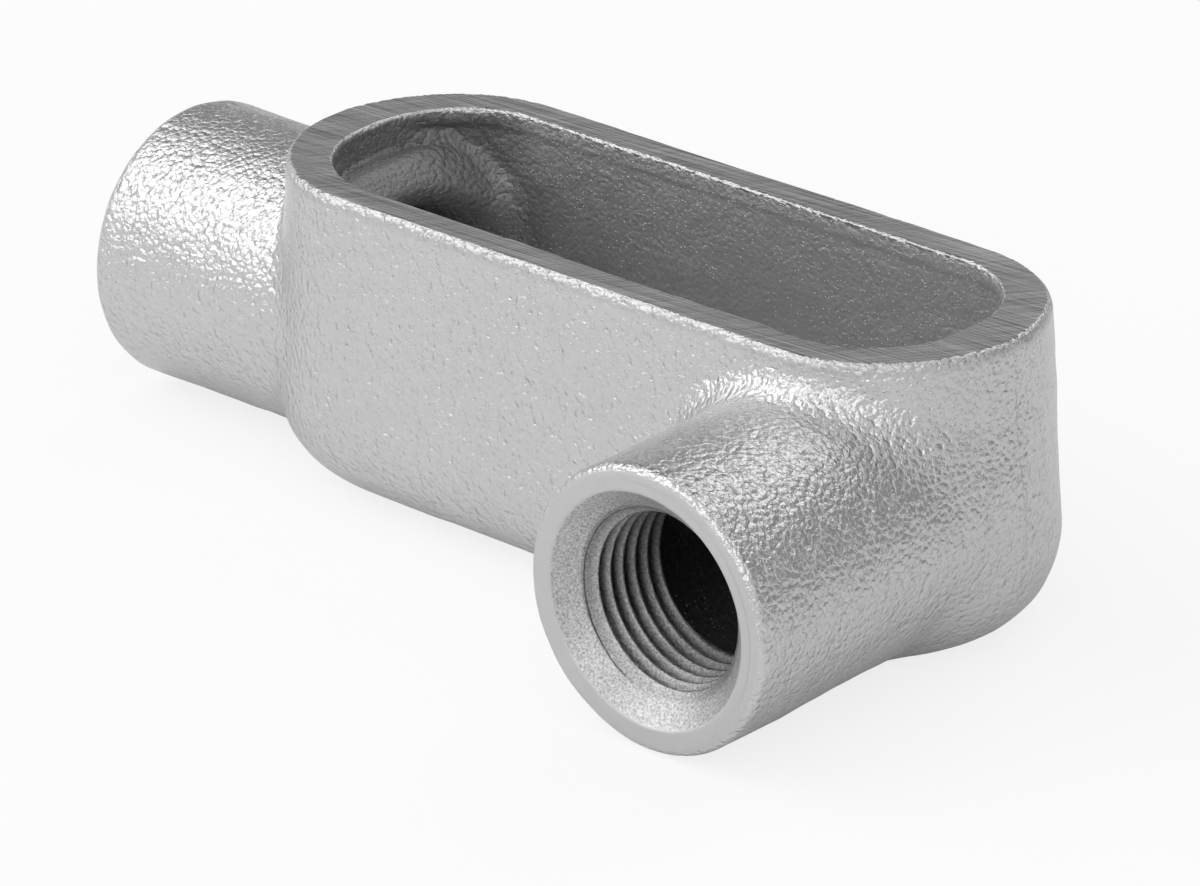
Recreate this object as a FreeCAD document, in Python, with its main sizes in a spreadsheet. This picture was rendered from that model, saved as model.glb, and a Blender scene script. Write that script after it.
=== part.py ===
# Conduit body with one hub on its end and one hub on its side, an open access
# mouth on top and tapped bores for rigid conduit. Millimetres.
# The origin is the middle of the underside, +Z points out of the access opening,
# -X out of the end hub and -Y out of the side hub.

import FreeCAD, Part
import math
import os
import Sketcher

doc = FreeCAD.newDocument("conduit_body")
vector = FreeCAD.Vector

# Driving dimensions
sizes = doc.addObject("Spreadsheet::Sheet", "sizes")
dimensions = (
    ("rim_length", 95.5, "outline of the ground rim that the cover sits on"),
    ("rim_width", 34.8, "rounded ends, so this is also twice their radius"),
    ("rim_rise", 4.7, "rim above the tops of the hubs"),
    ("rim_end", 5.9, "rim's land at each end of the opening"),
    ("rim_edge", 0.4, "break of the rim's outer edge"),
    ("wall", 4.3, "cast wall, and the rim's land along the opening"),
    ("lean", 2.3, "how far the walls lean out from the rim down to the underside"),
    ("base_round", 10.6, "radius between walls and underside"),
    ("opening_flat", 2.6, "straight part of the opening's ends"),
    ("lip_thickness", 1.9, "lip over each end of the cavity"),
    ("lip_reach", 2.5, "how far the cavity runs out below the lip"),
    ("floor_thickness", 3.9, "cast floor"),
    ("floor_round", 5.6, "radius between the cavity's walls and its floor"),
    ("hub_diameter", 31.2, "outside of both hubs"),
    ("hub_clearance", 0.1, "underside to the lowest line of the hubs"),
    ("end_hub_length", 22.55, "rim's end to the end hub's face"),
    ("end_hub_edge", 1.7, "round of the end hub's face"),
    ("side_hub_length", 23.0, "rim's side to the side hub's face"),
    ("side_hub_overhang", 1.05, "outside of the side hub past the rim's end"),
    ("side_hub_edge", 0.5, "break of the side hub's face"),
    ("side_blend", 3.4, "fillet between the side hub and the body"),
    ("crest_diameter", 18.0, "bore over the crests of the tapped thread"),
    ("mouth_diameter", 25.7, "countersink at the face of a hub"),
    ("tapped_depth", 15.0, "face of a hub to the last thread"),
    ("passage_diameter", 22.0, "cored wire passage behind the thread"),
    ("boss_depth", 13.35, "rim's end to the inner face of the end hub"),
    ("boss_collar", 2.0, "how much further out the inner end of that hub reaches"),
    ("boss_bevel", 5.6, "bevel of that inner end"),
)
for row, (alias, number, note) in enumerate(dimensions, start=1):
    sizes.set(f"A{row}", alias)
    sizes.set(f"B{row}", str(number))
    sizes.set(f"C{row}", note)
    sizes.setAlias(f"B{row}", alias)
doc.recompute()

quarter = math.pi / 2  # a quarter turn
overrun = 5.0  # how far a cutting form runs past the face that it opens
close = 0.01  # how near two measures are that count as equal

# Sizes that follow from the driving ones
body_height = "(sizes.hub_clearance + sizes.hub_diameter + sizes.rim_rise)"
hub_height = "(sizes.hub_clearance + sizes.hub_diameter / 2)"
base_length = "(sizes.rim_length + 2 * sizes.lean)"
base_width = "(sizes.rim_width + 2 * sizes.lean)"
opening_length = "(sizes.rim_length - 2 * sizes.rim_end)"
opening_width = "(sizes.rim_width - 2 * sizes.wall)"
opening_corner = f"(({opening_width} - sizes.opening_flat) / 2)"
lip_height = f"({body_height} - sizes.lip_thickness)"
cavity_lean = f"(sizes.lean * ({lip_height} - sizes.floor_thickness) / {body_height})"
end_hub_reach = "(sizes.rim_length / 2 + sizes.end_hub_length)"
side_hub_reach = "(sizes.rim_width / 2 + sizes.side_hub_length)"
side_hub_shift = "(sizes.rim_length / 2 + sizes.side_hub_overhang - sizes.hub_diameter / 2)"
boss_reach = "(sizes.rim_length / 2 - sizes.boss_depth)"
boss_radius = "(sizes.hub_diameter / 2 + sizes.boss_collar)"


def measure(expression):
    """Value of an expression over the sheet, for a first guess in a sketch."""
    result = sizes.evalExpression(expression)
    return float(getattr(result, "Value", result))


def origin_plane(body, role):
    for feature in body.Origin.OriginFeatures:
        if feature.Role == role:
            return feature
    raise ValueError(role)


def add_sketch(body, name, role, across=None, up=None, out=None):
    """Sketch on an origin plane, moved in that plane and off it by expressions."""
    sketch = body.newObject("Sketcher::SketchObject", name)
    sketch.AttachmentSupport = [(origin_plane(body, role), "")]
    sketch.MapMode = "FlatFace"
    for letter, expression in (("x", across), ("y", up), ("z", out)):
        if expression:
            sketch.setExpression(f"AttachmentOffset.Base.{letter}", expression)
    return sketch


def constrain(sketch, expression, *arguments):
    """Dimension of a sketch, held to an expression over the sheet."""
    value = measure(expression)
    index = sketch.addConstraint(Sketcher.Constraint(*arguments, value))
    sketch.setExpression(f"Constraints[{index}]", expression)


def place_point(sketch, geometry, point, across, up):
    """Hold a point of a sketch to its two coordinates; None means on the axis."""
    if across is None:
        sketch.addConstraint(Sketcher.Constraint("PointOnObject", geometry, point, -2))
    else:
        constrain(sketch, across, "DistanceX", -1, 1, geometry, point)
    if up is None:
        sketch.addConstraint(Sketcher.Constraint("PointOnObject", geometry, point, -1))
    else:
        constrain(sketch, up, "DistanceY", -1, 1, geometry, point)


def join_tangent(sketch, first, second):
    """End of one piece of an outline runs smoothly into the start of the next."""
    sketch.addConstraint(Sketcher.Constraint("Tangent", first, 2, second, 1))


def arc_piece(centre, radius, start, end):
    circle = Part.Circle(centre, vector(0, 0, 1), radius)
    return Part.ArcOfCircle(circle, start, end)


def stadium(sketch, length, width):
    """Outline with two straight sides and half-round ends."""
    radius = measure(width) / 2
    reach = measure(length) / 2 - radius
    right = sketch.addGeometry(arc_piece(vector(reach, 0, 0), radius, -quarter, quarter))
    back = sketch.addGeometry(Part.LineSegment(vector(reach, radius, 0), vector(-reach, radius, 0)))
    left = sketch.addGeometry(arc_piece(vector(-reach, 0, 0), radius, quarter, 3 * quarter))
    front = sketch.addGeometry(Part.LineSegment(vector(-reach, -radius, 0), vector(reach, -radius, 0)))
    outline = (right, back, left, front)
    for index in range(4):
        join_tangent(sketch, outline[index], outline[(index + 1) % 4])
    sketch.addConstraint(Sketcher.Constraint("Symmetric", right, 3, left, 3, -1, 1))
    constrain(sketch, f"{width} / 2", "Radius", right)
    sketch.addConstraint(Sketcher.Constraint("Equal", right, left))
    place_point(sketch, right, 3, f"({length} - {width}) / 2", None)


def rounded_rectangle(sketch, length, width, corner):
    """Outline with four straight sides and four equal round corners."""
    radius = measure(corner)
    across = measure(length) / 2 - radius
    up = measure(width) / 2 - radius
    outline = []
    for turn, (side, end) in enumerate(((1, 1), (-1, 1), (-1, -1), (1, -1))):
        centre = vector(side * across, end * up, 0)
        start = turn * quarter
        arc = arc_piece(centre, radius, start, start + quarter)
        outline.append(sketch.addGeometry(arc))
        leave = arc.EndPoint
        if turn % 2 == 0:
            arrive = vector(-leave.x, leave.y, 0)
        else:
            arrive = vector(leave.x, -leave.y, 0)
        outline.append(sketch.addGeometry(Part.LineSegment(leave, arrive)))
        direction = "Horizontal" if turn % 2 == 0 else "Vertical"
        sketch.addConstraint(Sketcher.Constraint(direction, outline[-1]))
    for index in range(8):
        join_tangent(sketch, outline[index], outline[(index + 1) % 8])
    for index in (2, 4, 6):
        sketch.addConstraint(Sketcher.Constraint("Equal", outline[0], outline[index]))
    sketch.addConstraint(Sketcher.Constraint("Symmetric", outline[0], 3, outline[4], 3, -1, 1))
    constrain(sketch, corner, "Radius", outline[0])
    place_point(sketch, outline[0], 3, f"{length} / 2 - {corner}", f"{width} / 2 - {corner}")


def polygon(sketch, corners):
    """Closed outline through corners given as pairs of expressions."""
    points = []
    for across, up in corners:
        x = measure(across) if across else 0.0
        y = measure(up) if up else 0.0
        points.append(vector(x, y, 0))
    lines = []
    for start, end in zip(points, points[1:] + points[:1]):
        lines.append(sketch.addGeometry(Part.LineSegment(start, end)))
    for index, line in enumerate(lines):
        following = lines[(index + 1) % len(lines)]
        sketch.addConstraint(Sketcher.Constraint("Coincident", line, 2, following, 1))
    for line, (across, up) in zip(lines, corners):
        place_point(sketch, line, 1, across, up)


def edges_where(feature, test):
    """Names of a feature's edges whose curve passes a test."""
    doc.recompute()
    names = []
    for index, edge in enumerate(feature.Shape.Edges, start=1):
        if test(edge):
            names.append(f"Edge{index}")
    return names


def hub_edges(feature, reach):
    """Edges of a hub's outside: those at its face and those where it meets the body."""
    doc.recompute()
    shape = feature.Shape
    along = "x" if reach == end_hub_reach else "y"
    face_place = -measure(reach)
    diameter = measure("sizes.hub_diameter")
    at_face = []
    at_body = []
    for face in shape.Faces:
        surface = face.Surface
        if surface.TypeId != "Part::GeomCylinder" or abs(2 * surface.Radius - diameter) > close:
            continue
        if abs(getattr(surface.Axis, along)) < 1 - close:
            continue
        for edge in face.Edges:
            if edge.isSeam(face):
                continue
            index = next(i for i, other in enumerate(shape.Edges, start=1) if other.isSame(edge))
            furthest = max(getattr(vertex.Point, along) for vertex in edge.Vertexes)
            if furthest < face_place + close:
                at_face.append(f"Edge{index}")
            else:
                at_body.append(f"Edge{index}")
    return at_face, at_body


def add_fillet(body, name, base, edges, radius):
    fillet = body.newObject("PartDesign::Fillet", name)
    fillet.Base = (base, edges)
    fillet.setExpression("Radius", radius)
    doc.recompute()
    return fillet


def add_break(body, name, base, edges, size):
    chamfer = body.newObject("PartDesign::Chamfer", name)
    chamfer.Base = (base, edges)
    chamfer.setExpression("Size", size)
    doc.recompute()
    return chamfer


# Outer form: a leaning stadium with round foot, and the two hubs
form = doc.addObject("PartDesign::Body", "outer_form")
base_outline = add_sketch(form, "base_outline", "XY_Plane")
stadium(base_outline, base_length, base_width)
rim_outline = add_sketch(form, "rim_outline", "XY_Plane", out=body_height)
stadium(rim_outline, "sizes.rim_length", "sizes.rim_width")
doc.recompute()
walls = form.newObject("PartDesign::AdditiveLoft", "walls")
walls.Profile = rim_outline
walls.Sections = [base_outline]
walls.Ruled = True
foot_edges = edges_where(walls, lambda edge: edge.BoundBox.ZMax < close)
foot = add_fillet(form, "foot", walls, foot_edges, "sizes.base_round")


def add_hub(name, role, shift, reach, reverse):
    """Round hub, padded from the middle of the body out through its wall."""
    circle = add_sketch(form, f"{name}_circle", role, across=shift, up=hub_height)
    radius = measure("sizes.hub_diameter") / 2
    ring = circle.addGeometry(Part.Circle(vector(0, 0, 0), vector(0, 0, 1), radius))
    circle.addConstraint(Sketcher.Constraint("Coincident", ring, 3, -1, 1))
    constrain(circle, "sizes.hub_diameter", "Diameter", ring)
    pad = form.newObject("PartDesign::Pad", name)
    pad.Profile = circle
    pad.Reversed = reverse
    pad.setExpression("Length", reach)
    doc.recompute()
    return pad


end_hub = add_hub("end_hub", "YZ_Plane", None, end_hub_reach, True)
side_hub = add_hub("side_hub", "XZ_Plane", side_hub_shift, side_hub_reach, False)
_, side_junction = hub_edges(side_hub, side_hub_reach)
side_fillet = add_fillet(form, "side_fillet", side_hub, side_junction, "sizes.side_blend")
side_face, _ = hub_edges(side_fillet, side_hub_reach)
side_edge = add_break(form, "side_edge", side_fillet, side_face, "sizes.side_hub_edge")
end_face, _ = hub_edges(side_edge, end_hub_reach)
end_edge = add_fillet(form, "end_edge", side_edge, end_face, "sizes.end_hub_edge")
rim_height = measure(body_height)
rim_edges = edges_where(end_edge, lambda edge: edge.BoundBox.ZMin > rim_height - close)
rim_break = add_break(form, "rim_break", end_edge, rim_edges, "sizes.rim_edge")

# Core: the cavity, its mouth and the two bores
core = doc.addObject("PartDesign::Body", "core")
cavity_top = add_sketch(core, "cavity_top", "XY_Plane", out=lip_height)
rounded_rectangle(
    cavity_top, f"({opening_length} + 2 * sizes.lip_reach)", opening_width, opening_corner
)
cavity_foot = add_sketch(core, "cavity_foot", "XY_Plane", out="sizes.floor_thickness")
rounded_rectangle(
    cavity_foot, f"({opening_length} + 2 * sizes.lip_reach + 2 * {cavity_lean})",
    f"({opening_width} + 2 * {cavity_lean})", f"({opening_corner} + {cavity_lean})"
)
cavity = core.newObject("PartDesign::AdditiveLoft", "cavity")
cavity.Profile = cavity_top
cavity.Sections = [cavity_foot]
cavity.Ruled = True
floor_height = measure("sizes.floor_thickness")
floor_edges = edges_where(cavity, lambda edge: edge.BoundBox.ZMax < floor_height + close)
cavity_floor = add_fillet(core, "cavity_floor", cavity, floor_edges, "sizes.floor_round")

boss_outline = add_sketch(core, "boss_outline", "XZ_Plane", up=hub_height)
polygon(boss_outline, (
    ("-sizes.rim_length / 2", None),
    (f"-{boss_reach}", None),
    (f"-{boss_reach}", f"{boss_radius} - sizes.boss_bevel"),
    (f"-{boss_reach} - sizes.boss_bevel", boss_radius),
    ("-sizes.rim_length / 2", boss_radius),
))
doc.recompute()
boss = core.newObject("PartDesign::Groove", "boss")
boss.Profile = boss_outline
boss.ReferenceAxis = (boss_outline, ["H_Axis"])
boss.Angle = 360
doc.recompute()


def add_bore(name, role, shift, reach, depth):
    """Countersink, tapped wall and cored passage of a hub, turned about its axis."""
    profile = add_sketch(core, f"{name}_profile", role, up=hub_height, out=shift)
    crest = "sizes.crest_diameter / 2"
    mouth = "sizes.mouth_diameter / 2"
    passage = "sizes.passage_diameter / 2"
    last_thread = f"-{reach} + sizes.tapped_depth"
    polygon(profile, (
        (f"-{reach} - {overrun}", None),
        (f"-{reach} - {overrun}", f"{mouth} + {overrun}"),
        (f"-{reach} + {mouth} - {crest}", crest),
        (last_thread, crest),
        (f"{last_thread} + {passage} - {crest}", passage),
        (f"-{depth} + {overrun}", passage),
        (f"-{depth} + {overrun}", None),
    ))
    doc.recompute()
    bore = core.newObject("PartDesign::Revolution", name)
    bore.Profile = profile
    bore.ReferenceAxis = (profile, ["H_Axis"])
    bore.Angle = 360
    doc.recompute()
    return bore


end_bore = add_bore("end_bore", "XZ_Plane", None, end_hub_reach, boss_reach)
side_bore = add_bore(
    "side_bore", "YZ_Plane", side_hub_shift, side_hub_reach, f"{opening_width} / 2"
)
mouth_outline = add_sketch(core, "mouth_outline", "XY_Plane", out=lip_height)
rounded_rectangle(mouth_outline, opening_length, opening_width, opening_corner)
doc.recompute()
mouth = core.newObject("PartDesign::Pad", "mouth")
mouth.Profile = mouth_outline
mouth.setExpression("Length", f"sizes.lip_thickness + {overrun}")
doc.recompute()

# The casting is the outer form less the core
casting = doc.addObject("Part::Cut", "conduit_body")
casting.Label = "conduit_body"
casting.Base = form
casting.Tool = core
doc.recompute()

for item in doc.Objects:
    if "Invalid" in item.State or "Error" in item.State:
        raise RuntimeError(f"{item.Name} failed: {item.State}")
sub_parts = (casting,)
os.makedirs("parts", exist_ok=True)
for sub_part in sub_parts:
    shape = sub_part.Shape
    if shape.isNull() or not shape.isValid() or len(shape.Solids) != 1:
        raise RuntimeError(f"{sub_part.Label} is not one sound solid")
    shape.exportStep(f"parts/{sub_part.Label}.step")
    print(sub_part.Label, round(shape.Volume), "cubic millimetres")
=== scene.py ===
import math

import bpy
import numpy as np
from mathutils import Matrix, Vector


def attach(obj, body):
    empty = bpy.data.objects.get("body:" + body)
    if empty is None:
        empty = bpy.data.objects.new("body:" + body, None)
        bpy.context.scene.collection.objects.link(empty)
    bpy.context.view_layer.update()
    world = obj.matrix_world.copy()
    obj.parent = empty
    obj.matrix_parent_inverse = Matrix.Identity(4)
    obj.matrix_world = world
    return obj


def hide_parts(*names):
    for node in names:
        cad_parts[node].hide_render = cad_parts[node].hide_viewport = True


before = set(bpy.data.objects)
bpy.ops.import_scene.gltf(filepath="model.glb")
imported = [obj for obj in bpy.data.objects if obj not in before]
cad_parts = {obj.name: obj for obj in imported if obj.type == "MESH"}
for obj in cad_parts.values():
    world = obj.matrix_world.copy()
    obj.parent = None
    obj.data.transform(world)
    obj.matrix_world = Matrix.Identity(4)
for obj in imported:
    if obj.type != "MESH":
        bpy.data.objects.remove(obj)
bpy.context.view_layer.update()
mm = 0.001
print("frame loaded")


# Shader nodes

class Strand:
    # one socket of a finish, so that masks are mixed with plain sums
    def __init__(self, finish, socket):
        self.finish = finish
        self.socket = socket

    def maths(self, operation, *values, clamp=False):
        settings = {"operation": operation, "use_clamp": clamp}
        return self.finish.node("ShaderNodeMath", settings, list(values))

    def __add__(self, other):
        return self.maths("ADD", self, other)

    def __radd__(self, other):
        return self.maths("ADD", other, self)

    def __sub__(self, other):
        return self.maths("SUBTRACT", self, other)

    def __rsub__(self, other):
        return self.maths("SUBTRACT", other, self)

    def __mul__(self, other):
        return self.maths("MULTIPLY", self, other)

    def __rmul__(self, other):
        return self.maths("MULTIPLY", other, self)


class Finish:
    # a material, or the world, that is built node by node
    def __init__(self, owner):
        self.owner = owner
        owner.use_nodes = True
        self.tree = owner.node_tree
        self.tree.nodes.clear()

    def node(self, kind, settings=None, inputs=None, output=0):
        made = self.tree.nodes.new(kind)
        for key, value in (settings or {}).items():
            setattr(made, key, value)
        pairs = inputs.items() if isinstance(inputs, dict) else enumerate(inputs or [])
        for key, value in pairs:
            if isinstance(value, Strand):
                self.tree.links.new(value.socket, made.inputs[key])
            else:
                made.inputs[key].default_value = value
        return Strand(self, made.outputs[output]) if len(made.outputs) else None

    def other(self, strand, output):
        # another output of the node that a strand comes from
        return Strand(self, strand.socket.node.outputs[output])

    def part(self, vector, axis):
        return self.node("ShaderNodeSeparateXYZ", {}, {"Vector": vector}, axis)

    def layer(self, name):
        return self.node("ShaderNodeAttribute", {"attribute_name": name}, {}, "Fac")

    def ease(self, value, low, high):
        # 0 below low, 1 above high, smooth between
        settings = {"interpolation_type": "SMOOTHSTEP"}
        return self.node("ShaderNodeMapRange", settings, {0: value, 1: low, 2: high})

    def grey(self, value):
        return self.node("ShaderNodeCombineColor", {}, [value, value, value])

    def noise(self, place, size, detail=2.0, roughness=0.5):
        # size is that of one lump, in metres
        values = {"Vector": place, "Scale": 1 / size, "Detail": detail, "Roughness": roughness}
        return self.node("ShaderNodeTexNoise", {}, values, "Fac")

    def stretch(self, place, factors, turn=0.0):
        values = {"Vector": place, "Scale": factors, "Rotation": (0, 0, turn)}
        return self.node("ShaderNodeMapping", {"vector_type": "TEXTURE"}, values, "Vector")


# The casting's form, in millimetres, as distances from its faces

casting = {
    "rimHeight": 36.0,
    "rimLength": 95.5,
    "rimWidth": 34.8,
    "rimRound": 1.2,
    "rimGround": 0.25,
    "endLean": 1.8,
    "sideLean": 3.4,
    "footRound": 11.2,
    "hubHeight": 15.7,
    "endHubRadius": 15.65,
    "endHubReach": 70.3,
    "endHubRound": 2.0,
    "endBlend": 1.2,
    "sideHubRadius": 15.6,
    "sideHubReach": 40.4,
    "sideHubShift": 33.2,
    "sideHubRound": 1.1,
    "sideBlend": 3.4,
    "sideBlendLow": 1.0,
    "blendFrom": 8.0,
    "blendRise": 18.0,
    "openingLength": 83.7,
    "openingWidth": 26.2,
    "openingCorner": 11.8,
    "lipHeight": 34.1,
    "lipRound": 0.8,
    "mouthDepth": 2.0,
    "mouthRound": 0.5,
    "edgeRound": 0.35,
    "lipReach": 2.5,
    "bossLipReach": 1.0,
    "floorHeight": 3.9,
    "floorRound": 5.6,
    "cavityEndLean": 1.9,
    "cavitySideLean": 1.9,
    "bossReach": 34.4,
    "bossRadius": 18.8,
    "bossFlat": 9.0,
    "bossFall": 8.0,
    "bossMouth": 4.0,
    "bossValley": 3.0,
    "lipValley": 1.0,
    "lipValleyHeight": 32.0,
    "valleyRise": 8.0,
    "bossSlope": 0.75,
    "steepest": 1.3,
    "passageRadius": 11.0,
    "sideStop": 10.0,
    "boreRound": 1.0,
    "linerRoom": 0.4,
    "cell": 0.59,
    "settling": 5,
    "unevenness": 0.16,
    "mouthUnevenness": 0.4,
    "lumpSize": 9.0,
    "rippleHeight": 0.07,
    "rippleSize": 2.6,
}

thread = {
    "pitch": 1.814,
    "height": 1.25,
    "rootRadius": 10.66,
    "taper": 1 / 32,
    "mouthRadius": 12.85,
    "depth": 13.6,
    "ringRadius": 14.0,
    "sharpness": 1.3,
    "soft": 0.08,
    "turnSteps": 224,
    "rowStep": 0.11,
    "grooveStart": 0.12,
    "grooveSpan": 0.5,
    "shadeDepth": 3.0,
    "shadeSpan": 10.0,
    "startTurn": {"sideThread": 0.0, "endThread": 0.35},
}


def roundedCorner(a, b, radius):
    # the space inside both faces, with its outer corner rounded
    inner = np.minimum(np.maximum(a, b) + radius, 0)
    return inner + np.hypot(np.maximum(a + radius, 0), np.maximum(b + radius, 0)) - radius


def blended(a, b, radius):
    # either form, with a fillet where they meet
    reach = np.hypot(np.maximum(radius - a, 0), np.maximum(radius - b, 0))
    return np.maximum(np.minimum(a, b), radius) - reach


def slot(x, y, length, width, corner):
    a = np.abs(x) - (length / 2 - corner)
    b = np.abs(y) - (width / 2 - corner)
    inner = np.minimum(np.maximum(a, b), 0)
    return np.hypot(np.maximum(a, 0), np.maximum(b, 0)) + inner - corner


lumpTable = np.random.default_rng(5).uniform(-1, 1, (32, 32, 32))


def lumps(x, y, z, size):
    # smooth random heights between -1 and 1, one lump to each size
    cells = []
    shares = []
    for place in (x / size + 40.3, y / size + 41.7, z / size + 42.9):
        cell = np.floor(place).astype(int)
        share = place - cell
        cells.append(cell)
        shares.append(share * share * (3 - 2 * share))
    total = 0
    for corner in range(8):
        steps = (corner & 1, corner >> 1 & 1, corner >> 2 & 1)
        weight = 1
        for step, share in zip(steps, shares):
            weight = weight * (share if step else 1 - share)
        picks = [(cell + step) % 32 for cell, step in zip(cells, steps)]
        total = total + weight * lumpTable[picks[0], picks[1], picks[2]]
    return total


def castingDistance(x, y, z):
    c = casting
    drop = (c["rimHeight"] - z) / c["rimHeight"]
    skin = c["unevenness"] * lumps(x, y, z, c["lumpSize"])
    skin = skin + c["rippleHeight"] * lumps(x, y, z, c["rippleSize"])
    halfWidth = c["rimWidth"] / 2 + drop * c["sideLean"]
    halfLength = c["rimLength"] / 2 + drop * c["endLean"]
    wall = np.hypot(np.maximum(np.abs(x) - (halfLength - halfWidth), 0), y) - halfWidth + skin
    outer = roundedCorner(wall, -z, c["footRound"])
    fromSideAxis = np.hypot(x - c["sideHubShift"], z - c["hubHeight"])
    sideFace = -y - c["sideHubReach"]
    sideHub = roundedCorner(fromSideAxis - c["sideHubRadius"] + skin, sideFace, c["sideHubRound"])
    # the fillet is fuller over the hub than below it
    share = ((z - c["blendFrom"]) / c["blendRise"]).clip(0, 1)
    blend = c["sideBlendLow"] + (c["sideBlend"] - c["sideBlendLow"]) * share
    outer = blended(outer, np.maximum(sideHub, y), blend)
    fromEndAxis = np.hypot(y, z - c["hubHeight"])
    endFace = -x - c["endHubReach"]
    endHub = roundedCorner(fromEndAxis - c["endHubRadius"] + skin, endFace, c["endHubRound"])
    outer = blended(outer, np.maximum(endHub, x), c["endBlend"])
    outer = np.maximum(outer, -z)

    fall = (c["lipHeight"] - z) / (c["lipHeight"] - c["floorHeight"])
    # the lip reaches less far over the boss than at the other end
    reach = c["lipReach"] + c["bossLipReach"]
    cavity = slot(
        x - (c["lipReach"] - c["bossLipReach"]) / 2, y,
        c["openingLength"] + reach + 2 * c["cavityEndLean"] * fall,
        c["openingWidth"] + 2 * c["cavitySideLean"] * fall,
        c["openingCorner"] + c["cavitySideLean"] * fall,
    ) + skin
    cavity = roundedCorner(cavity, c["floorHeight"] - z + skin, c["floorRound"])
    cavity = roundedCorner(cavity, z - c["lipHeight"], c["lipRound"])
    bore = c["passageRadius"]
    # the boss falls away towards the lip and into its bore
    outward = (z - c["hubHeight"] - c["bossFlat"]) / (c["bossRadius"] - c["bossFlat"])
    outward = outward.clip(0, c["steepest"])
    inward = ((bore + c["bossMouth"] - fromEndAxis) / c["bossMouth"]).clip(0, c["steepest"])
    face = -c["bossReach"] - c["bossFall"] * outward ** 2 - c["bossMouth"] * inward ** 2
    below = ((c["lipValleyHeight"] - z) / c["valleyRise"]).clip(0, 1)
    valley = c["lipValley"] + (c["bossValley"] - c["lipValley"]) * below
    cavity = roundedCorner(cavity, (face - x) * c["bossSlope"] + skin, valley)
    mouth = slot(x, y, c["openingLength"], c["openingWidth"], c["openingCorner"])
    mouth = mouth + c["mouthUnevenness"] * skin
    core = blended(cavity, np.maximum(mouth, c["lipHeight"] - c["mouthDepth"] - z), c["mouthRound"])
    flare = c["linerRoom"] + thread["mouthRadius"]
    endStop = x + c["bossReach"] - c["bossMouth"]
    endBore = np.maximum(fromEndAxis - np.maximum(bore, flare + endFace), endStop)
    sideBore = np.maximum(fromSideAxis - np.maximum(bore, flare + sideFace), y + c["sideStop"])
    core = blended(core, endBore, c["boreRound"])
    core = blended(core, sideBore, c["boreRound"])
    # the rim was ground off a little below the top of its rounded edge
    outer = roundedCorner(outer, z - c["rimHeight"] - c["rimGround"], c["rimRound"])
    outer = np.maximum(outer, z - c["rimHeight"])
    return roundedCorner(outer, -core, c["edgeRound"])


def slopeOf(distance, points):
    step = 0.02
    slope = np.empty_like(points)
    for axis in range(3):
        shift = np.zeros(3)
        shift[axis] = step
        ahead = distance(*(points + shift).T)
        behind = distance(*(points - shift).T)
        slope[:, axis] = (ahead - behind) / (2 * step)
    return slope


def along(values, axis, start, stop):
    picks = [slice(None)] * 3
    picks[axis] = slice(start, stop)
    return values[tuple(picks)]


def netSurface(distance, low, high, cell):
    # one point in each cell that the surface crosses, joined into quads
    counts = [int(math.ceil((b - a) / cell)) + 1 for a, b in zip(low, high)]
    lines = [a + cell * np.arange(n) for a, n in zip(low, counts)]
    value = distance(*np.meshgrid(*lines, indexing="ij"))
    cells = tuple(n - 1 for n in counts)
    total = np.zeros(cells + (3,))
    hits = np.zeros(cells, int)
    crossings = []
    for axis in range(3):
        u, v = (axis + 1) % 3, (axis + 2) % 3
        near = along(value, axis, None, -1)
        far = along(value, axis, 1, None)
        crossed = (near < 0) != (far < 0)
        share = np.where(crossed, near / np.where(crossed, near - far, 1), 0)
        crossings.append((crossed, near < 0))
        for du in (0, 1):
            for dv in (0, 1):
                hit = along(along(crossed, u, du, du + cells[u]), v, dv, dv + cells[v])
                place = along(along(share, u, du, du + cells[u]), v, dv, dv + cells[v])
                hits += hit
                total[..., axis] += place * hit
                total[..., u] += du * hit
                total[..., v] += dv * hit
    active = hits > 0
    place = total[active] / hits[active][:, None]
    corner = np.argwhere(active)
    points = np.array(low) + cell * (corner + place)
    number = np.full(cells, -1)
    number[active] = np.arange(len(points))
    quads = []
    for axis, (crossed, fromInside) in enumerate(crossings):
        u, v = (axis + 1) % 3, (axis + 2) % 3
        where = np.argwhere(crossed)
        kept = (where[:, u] > 0) & (where[:, v] > 0)
        kept &= (where[:, u] < cells[u]) & (where[:, v] < cells[v])
        where = where[kept]
        ring = []
        for du, dv in ((-1, -1), (0, -1), (0, 0), (-1, 0)):
            neighbour = where.copy()
            neighbour[:, u] += du
            neighbour[:, v] += dv
            ring.append(number[tuple(neighbour.T)])
        ring = np.stack(ring, 1)
        outward = fromInside[tuple(where.T)]
        quads.append(np.where(outward[:, None], ring, ring[:, ::-1]))
    return points, np.concatenate(quads)


def pieceFrom(name, points, faces, finish):
    mesh = bpy.data.meshes.new(name)
    mesh.from_pydata((points * mm).tolist(), [], faces.tolist())
    mesh.polygons.foreach_set("use_smooth", np.ones(len(mesh.polygons), bool))
    mesh.update()
    piece = bpy.data.objects.new(name, mesh)
    bpy.context.collection.objects.link(piece)
    mesh.materials.append(finish)
    return piece


def addLayer(piece, name, values):
    layer = piece.data.attributes.new(name, "FLOAT", "POINT")
    layer.data.foreach_set("value", np.ravel(values).astype(float))


# Finishes

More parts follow.
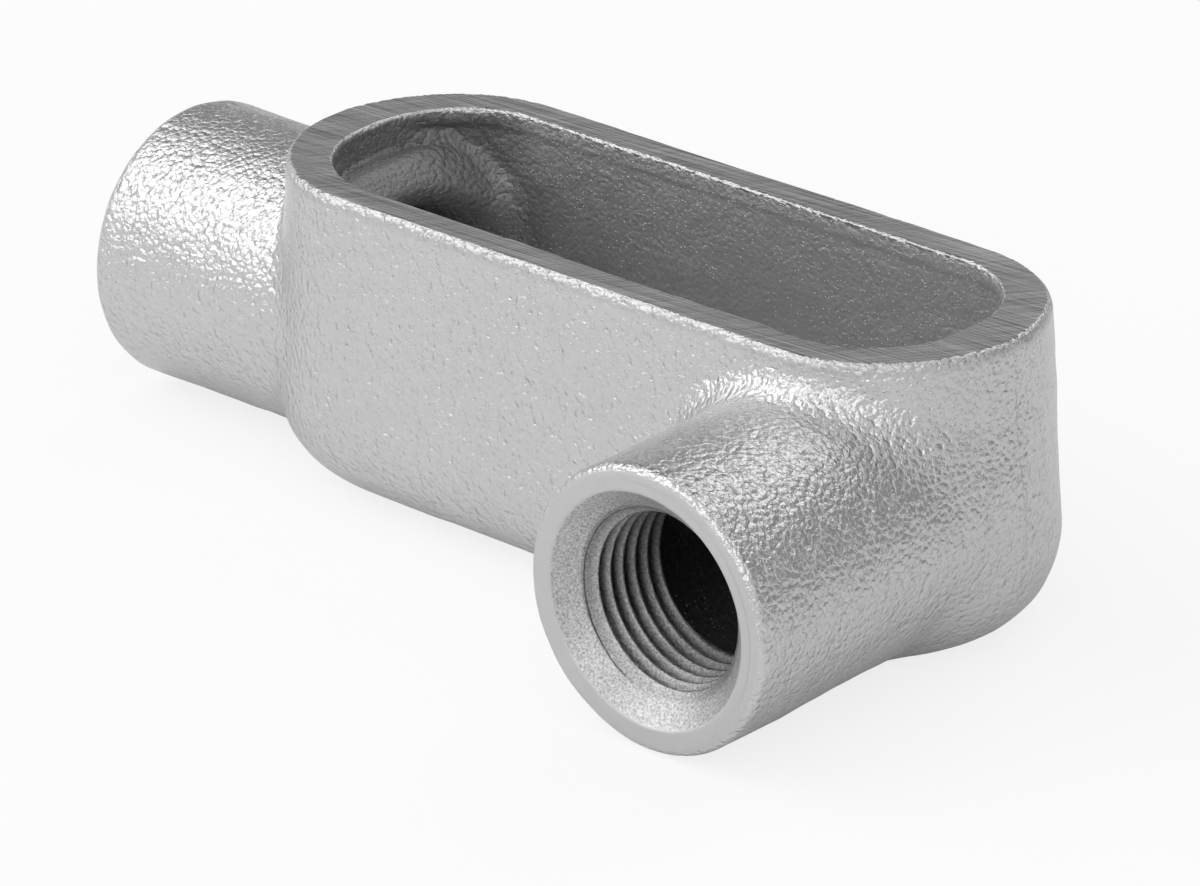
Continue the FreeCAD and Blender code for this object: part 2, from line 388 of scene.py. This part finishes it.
silver = {
    "paint": 0.72,
    "paintChange": 0.05,
    "roughness": 0.29,
    "dustSize": 0.00024,
    "grainSize": 0.00048,
    "pebbleSize": 0.0007,
    "pebbleWarp": 0.0007,
    "lumpSize": 0.0015,
    "relief": 0.0002,
    "wallRelief": 0.85,
    "faceCalm": 0.08,
    "machinedRoughness": 0.5,
    "gritSize": 0.00045,
    "gritShare": 0.6,
    "insidePaintedShade": 0.86,
    "insideRoughness": 0.62,
    "rimShade": 0.68,
    "rimContrast": 2.8,
    "rimRoughness": 0.34,
    "boredDark": 0.18,
    "bossPaintedShade": 0.4,
    "patchSize": 0.012,
    "spotSize": 0.006,
    "gritReach": (0.34, 0.08),
    "seamWander": 0.0003,
    "seamWidth": (0.00032, 0.00006),
    "rimWander": 0.0002,
    "rimFacing": (0.80, 0.92),
    "longScratch": ((0.02, 0.00022, 1.0), 0.06),
    "crossScratch": ((0.009, 0.0003, 1.0), 0.9),
    # where each mask begins and is full, in metres of the frame
    "edgeHeight": (0.0353, 0.0357),
    "browHeights": (0.0343, 0.0350),
    "sparkleHeights": (0.020, 0.034),
    "rimHeights": (0.03586, 0.03596),
    "seamZone": (0.044, 0.046),
    "bossZone": (-0.028, -0.036),
    "sideFace": (-0.0402, -0.04032),
    "endFace": (-0.0700, -0.07022),
}


def silverFinish():
    look = silver
    finish = Finish(bpy.data.materials.new("silverCasting"))
    ease = finish.ease
    place = finish.node("ShaderNodeTexCoord", {}, {}, "Object")
    facing = finish.part(finish.node("ShaderNodeTexCoord", {}, {}, "Normal"), "Z")
    height = finish.part(place, "Z")
    across = finish.part(place, "X")
    forward = finish.part(place, "Y")
    machined = finish.layer("machined")
    # the opening's edge keeps the outside's paint, out of the cavity's painted shade
    inside = finish.layer("inside") * (1 - ease(height, *look["edgeHeight"]))
    paintedDeepShade = finish.layer("paintedDeepShade")

    dust = finish.noise(place, look["dustSize"], 2.0, 0.6)
    grain = finish.noise(place, look["grainSize"])
    lump = finish.noise(place, look["lumpSize"])
    patch = finish.noise(place, look["patchSize"])
    warp = finish.other(lump, "Color")
    spread = (look["pebbleWarp"],) * 3
    settings = {"operation": "MULTIPLY_ADD"}
    warped = finish.node("ShaderNodeVectorMath", settings, [warp, spread, place], "Vector")
    values = {"Vector": warped, "Scale": 1 / look["pebbleSize"]}
    pebble = finish.node("ShaderNodeTexVoronoi", {}, values, "Distance")
    pebble = 1 - pebble * pebble

    # grit stands up here and there in the cavity, and all over the boss, and there it also lifts
    # the colour as painted glints
    values = {"Vector": place, "Scale": 1 / look["gritSize"]}
    gritAndGlint = finish.node("ShaderNodeTexVoronoi", {}, values, "Distance")
    chance = finish.other(gritAndGlint, "Color")
    chance = finish.node("ShaderNodeSeparateColor", {}, {"Color": chance}, "Red")
    gritAndGlint = ease(gritAndGlint, *look["gritReach"]) * ease(chance, 1 - look["gritShare"], 1.0)
    boss = ease(across, *look["bossZone"]) * inside
    high = ease(height, *look["sparkleHeights"])
    spots = ease(finish.noise(place, look["spotSize"], 1.0, 0.5) + high * 0.25, 0.4, 0.6)
    gritAndGlint = gritAndGlint * (spots * (1 - boss) + boss)

    # parting line of the mould, down the round end
    wander = forward + (lump - 0.5) * look["seamWander"]
    beside = finish.node("ShaderNodeMath", {"operation": "ABSOLUTE"}, [wander])
    seam = ease(beside, *look["seamWidth"]) * ease(across, *look["seamZone"])

    # the ground rim, ragged where the paint begins
    edge = height + (grain - 0.5) * look["rimWander"]
    rim = ease(edge, *look["rimHeights"]) * ease(facing, *look["rimFacing"])
    lengthwise = finish.noise(finish.stretch(place, *look["longScratch"]), 1.0, 3.0, 0.6)
    oblique = finish.noise(finish.stretch(place, *look["crossScratch"]), 1.0, 2.0, 0.6)
    brushing = lengthwise * 0.7 + oblique * 0.3

    # the faces of the hubs were cut flat before the paint
    cutFace = ease(forward, *look["sideFace"]) + ease(across, *look["endFace"])
    bored = machined * (1 - cutFace)
    cut = bored + cutFace
    brow = ease(edge, *look["browHeights"]) * (1 - inside)

    paint = look["paint"] + (patch - 0.5) * look["paintChange"] + (lump - 0.5) * 0.06
    # painted shade: the cavity's paint is dimmed and the boss dimmed more, except at the grit's
    # painted glints
    paintedShade = inside * (1 - look["insidePaintedShade"]) + boss * look["bossPaintedShade"]
    # and near-black painted shade deep in the passages and in the threads' grooves
    paint = paint * (1 - paintedShade * (1 - gritAndGlint * 0.9)) * (1 - paintedDeepShade * 0.96)
    dusty = (dust - 0.5) * (bored * 1.5 + cut * 0.06)
    paint = paint * (1 - bored * look["boredDark"] - cutFace * 0.04 + dusty)
    # painted glints on the up-facing floor of the dark passages
    paint = paint + gritAndGlint * paintedDeepShade * inside * ease(facing, 0.1, 0.6) * 0.4
    paint = paint * (1 - brow * 0.08)
    bareAndShade = look["rimShade"] + (brushing - 0.5) * look["rimContrast"] + (dust - 0.5) * 0.35
    shade = paint * (1 - rim) + bareAndShade * rim

    roughness = look["roughness"] + (lump - 0.5) * 0.12 + brow * 0.12
    roughness = roughness + inside * (look["insideRoughness"] - look["roughness"])
    roughness = roughness + cut * (look["machinedRoughness"] - look["roughness"])
    brushed = look["rimRoughness"] + (brushing - 0.5) * 0.3
    roughness = roughness * (1 - rim) + brushed * rim

    calm = 1 - cut * (1 - look["faceCalm"])
    calm = calm * (look["wallRelief"] + ease(facing, 0.0, 0.5) * (1 - look["wallRelief"]))
    lumpy = (pebble - 0.8) * 0.85 + (lump - 0.5) * 0.7
    relief = (grain - 0.5) * 0.8 + lumpy * (1 - (inside - boss) * 0.5) + gritAndGlint * (0.5 + inside)
    relief = (relief * calm + seam * 0.25) * (1 - rim) + (brushing - 0.5) * 0.16 * rim
    relief = relief + (grain - 0.5) * (bored * 0.3 + cutFace * 0.04)
    values = {"Strength": 1.0, "Distance": look["relief"], "Height": relief}
    bump = finish.node("ShaderNodeBump", {}, values, "Normal")
    shader = finish.node("ShaderNodeBsdfPrincipled", {}, {
        "Base Color": finish.grey(shade),
        "Roughness": roughness,
        "Metallic": 1.0,
        "Normal": bump,
    })
    finish.node("ShaderNodeOutputMaterial", {}, {"Surface": shader})
    return finish.owner


silverCasting = silverFinish()


masking = {
    "faceGap": 0.06,
    "cavityLength": 91.7,
    "cavityWidth": 32.2,
    "cavityCorner": 14.8,
    "cavityLow": 2.5,
    "room": 0.6,
    "overlap": 1.0,
    "sideDepth": 14.0,
    "endDepth": 40.0,
}


def castingMasks(x, y, z):
    c, m = casting, masking
    endDepth = x + c["endHubReach"]
    sideDepth = y + c["sideHubReach"]
    face = (np.abs(endDepth) < m["faceGap"]) | (np.abs(sideDepth) < m["faceGap"])
    room = slot(x, y, m["cavityLength"], m["cavityWidth"], m["cavityCorner"])
    inside = (room < 0) & (z > m["cavityLow"])
    reach = c["passageRadius"] + m["room"]
    sidePassage = (np.hypot(x - c["sideHubShift"], z - c["hubHeight"]) < reach) & (y < 0)
    endPassage = (np.hypot(y, z - c["hubHeight"]) < reach) & (x < 0)
    inside |= sidePassage | endPassage
    # painted shade deep in the passages, beyond the threads
    hidden = thread["depth"] - m["overlap"]
    deepest = (sideDepth > hidden) & (y < -m["sideDepth"]) & sidePassage
    deepest |= (endDepth > hidden) & (x < -m["endDepth"]) & endPassage
    return {"inside": inside & ~face, "paintedDeepShade": deepest}


def makeCasting():
    low = (-72, -42, -1.2)
    high = (51.6, 22, 37.2)
    points, faces = netSurface(castingDistance, low, high, casting["cell"])
    for turn in range(casting["settling"]):
        slope = slopeOf(castingDistance, points)
        length = np.maximum((slope ** 2).sum(1), 0.05)
        points = points - slope * (castingDistance(*points.T) / length).clip(-0.4, 0.4)[:, None]
    slope = slopeOf(castingDistance, points)
    slope /= np.linalg.norm(slope, axis=1)[:, None]
    body = pieceFrom("casting", points, faces, silverCasting)
    body.data.normals_split_custom_set_from_vertices(slope.tolist())
    for name, share in castingMasks(*points.T).items():
        addLayer(body, name, share)
    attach(body, "root")
    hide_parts("conduit_body")
    print("casting made:", len(faces), "quads")


makeCasting()


# Threads, one liner in each hub

def threadRadius(depth, turns):
    phase = depth / thread["pitch"] - turns
    swing = np.abs(2 * (phase - np.floor(phase)) - 1)
    root = thread["rootRadius"] - depth * thread["taper"]
    cut = root - thread["height"] * (1 - swing ** thread["sharpness"])
    cone = thread["mouthRadius"] - depth
    return (cut + cone + np.sqrt((cut - cone) ** 2 + thread["soft"] ** 2)) / 2


def makeThread(name, face, axis, side):
    steps = thread["turnSteps"]
    turns = np.arange(steps) / steps
    mouth = thread["mouthRadius"]
    rows = []
    # a thin ring lies on the hub's face and turns into the countersink
    ring = ((thread["ringRadius"], -0.012), (mouth + 0.25, -0.012), (mouth + 0.1, 0.0))
    for radius, depth in ring:
        rows.append((np.full(steps, radius), np.full(steps, depth)))
    for depth in np.arange(0.12, thread["depth"], thread["rowStep"]):
        spin = turns + thread["startTurn"][name]
        rows.append((threadRadius(depth, spin), np.full(steps, depth)))
    last = (thread["rootRadius"] + 0.6, thread["depth"] + 0.4)
    rows.append((np.full(steps, last[0]), np.full(steps, last[1])))
    radius = np.array([row[0] for row in rows])
    depth = np.array([row[1] for row in rows])
    angle = np.broadcast_to(turns * 2 * math.pi, radius.shape)
    along, over = np.array(axis, float), np.array(side, float)
    across = np.cross(along, over)
    points = (
        np.array(face) + depth[..., None] * along
        + (radius * np.cos(angle))[..., None] * over
        + (radius * np.sin(angle))[..., None] * across
    )
    count = len(rows)
    index = np.arange(count * steps).reshape(count, steps)
    following = np.roll(index, -1, 1)
    quads = np.stack([index[:-1], following[:-1], following[1:], index[1:]], -1).reshape(-1, 4)
    piece = pieceFrom(name, points.reshape(-1, 3), quads, silverCasting)
    # painted shade: the threads darken further in, and most in their grooves
    crest = thread["rootRadius"] - thread["height"] - depth * thread["taper"]
    groove = (radius - crest) / thread["height"] - thread["grooveStart"]
    groove = (groove / thread["grooveSpan"]).clip(0, 1)
    groove = groove * (radius < crest + thread["height"] + 0.02)
    groove = groove * (0.3 + 0.7 * ((depth - 2.2) / 3).clip(0, 1))
    # and less towards the bottom, where more light falls
    low = ((casting["hubHeight"] - points[..., 2]) / radius).clip(0, 1)
    groove = groove * (1 - 0.6 * low ** 2)
    deeper = ((depth - thread["shadeDepth"]) / thread["shadeSpan"]).clip(0, 1) ** 0.6
    bareAndShade = deeper * (0.75 - 0.35 * low) * (1 - groove) + groove * 0.98
    addLayer(piece, "machined", np.ones_like(depth))
    addLayer(piece, "paintedDeepShade", bareAndShade)
    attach(piece, "root")
    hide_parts("conduit_body")


sideMouth = (casting["sideHubShift"], -casting["sideHubReach"], casting["hubHeight"])
endMouth = (-casting["endHubReach"], 0, casting["hubHeight"])
makeThread("sideThread", sideMouth, (0, 1, 0), (1, 0, 0))
makeThread("endThread", endMouth, (1, 0, 0), (0, 0, 1))
print("threads made")


# Studio

studio = {
    "floorShade": 0.88,
    "floorFall": 0.45,
    "floorSeen": 1.0,
    "floorGlow": 0.8,
    "skyStrength": 0.62,
    "backStrength": 0.36,
    "backFall": 0.35,
    "darkStrength": 0.24,
    "darkSide": (-0.52, 0.66, 0.54),
    "darkReach": (0.895, 0.97),
    "lamps": {
        "frontSoftbox": {"place": (-0.68, -0.46, 0.78), "power": 4.3, "size": 1.1},
        "rearSoftbox": {"place": (-0.02, 0.84, 0.86), "power": 1.9, "size": 0.75},
        "sideSoftbox": {"place": (0.50, -0.86, 0.72), "power": 1.9, "size": 0.8},
    },
    "target": (-0.004, -0.006, 0.012),
}


def makeFloor():
    mesh = bpy.data.meshes.new("floor")
    reach = 3.0
    corners = [(-reach, -reach, 0), (reach, -reach, 0), (reach, reach, 0), (-reach, reach, 0)]
    mesh.from_pydata(corners, [], [(0, 1, 2, 3)])
    floor = bpy.data.objects.new("floor", mesh)
    bpy.context.collection.objects.link(floor)
    finish = Finish(bpy.data.materials.new("palePaper"))
    seen = finish.node("ShaderNodeLightPath", {}, {}, "Is Camera Ray")
    # painted shade: the floor's colour darkens towards the right, as if the light fell off
    right = finish.part(finish.node("ShaderNodeTexCoord", {}, {}, "Object"), "X")
    fall = 1 - finish.ease(right, 0.0, 0.6) * studio["floorFall"]
    shade = studio["floorShade"] * fall * (1 - seen) + studio["floorSeen"] * seen
    shader = finish.node("ShaderNodeBsdfPrincipled", {}, {
        "Base Color": finish.grey(shade),
        "Roughness": 0.9,
        "Specular IOR Level": 0.1,
    })
    glow = finish.node("ShaderNodeEmission", {}, {"Color": (1, 1, 1, 1), "Strength": 1.0})
    lit = finish.node("ShaderNodeMixShader", {}, [seen * studio["floorGlow"], shader, glow])
    finish.node("ShaderNodeOutputMaterial", {}, {"Surface": lit})
    mesh.materials.append(finish.owner)


def makeSky():
    world = bpy.data.worlds.new("softRoom")
    bpy.context.scene.world = world
    finish = Finish(world)
    toward = finish.node("ShaderNodeTexCoord", {}, {}, "Generated")
    dark = Vector(studio["darkSide"]).normalized()
    nearness = finish.node(
        "ShaderNodeVectorMath", {"operation": "DOT_PRODUCT"}, [toward, tuple(dark)], "Value"
    )
    dim = finish.ease(nearness, *studio["darkReach"])
    behind = finish.ease(finish.part(toward, "Y"), 0.15, 0.6)
    strength = studio["skyStrength"] * (1 - behind) + studio["backStrength"] * behind
    aside = finish.ease(finish.part(toward, "X"), 0.15, 0.6)
    strength = strength * (1 - behind * aside * studio["backFall"])
    strength = strength * (1 - dim) + studio["darkStrength"] * dim
    camera = finish.node("ShaderNodeLightPath", {}, {}, "Is Camera Ray")
    strength = strength * (1 - camera) + camera
    shader = finish.node("ShaderNodeBackground", {}, {"Color": (1, 1, 1, 1), "Strength": strength})
    finish.node("ShaderNodeOutputWorld", {}, {"Surface": shader})


def makeLamp(name, place, power, size):
    light = bpy.data.lights.new(name, "AREA")
    light.energy = power
    light.size = size
    lamp = bpy.data.objects.new(name, light)
    lamp.location = place
    aim = Vector(studio["target"]) - Vector(place)
    lamp.rotation_euler = aim.to_track_quat("-Z", "Y").to_euler()
    bpy.context.collection.objects.link(lamp)


def makeCamera():
    lens = bpy.data.cameras.new("camera")
    lens.lens = 236.726
    lens.sensor_width = 36.0
    lens.sensor_fit = "HORIZONTAL"
    lens.clip_start = 0.05
    lens.clip_end = 20
    camera = bpy.data.objects.new("camera", lens)
    camera.location = (0.507361, -0.573006, 0.356558)
    camera.rotation_euler = [math.radians(turn) for turn in (65.68018, 0.54239, 41.77221)]
    bpy.context.collection.objects.link(camera)
    bpy.context.scene.camera = camera


makeFloor()
makeSky()
for name, lamp in studio["lamps"].items():
    makeLamp(name, lamp["place"], lamp["power"], lamp["size"])
makeCamera()
bpy.context.scene.view_settings.view_transform = "Standard"
print("studio made")
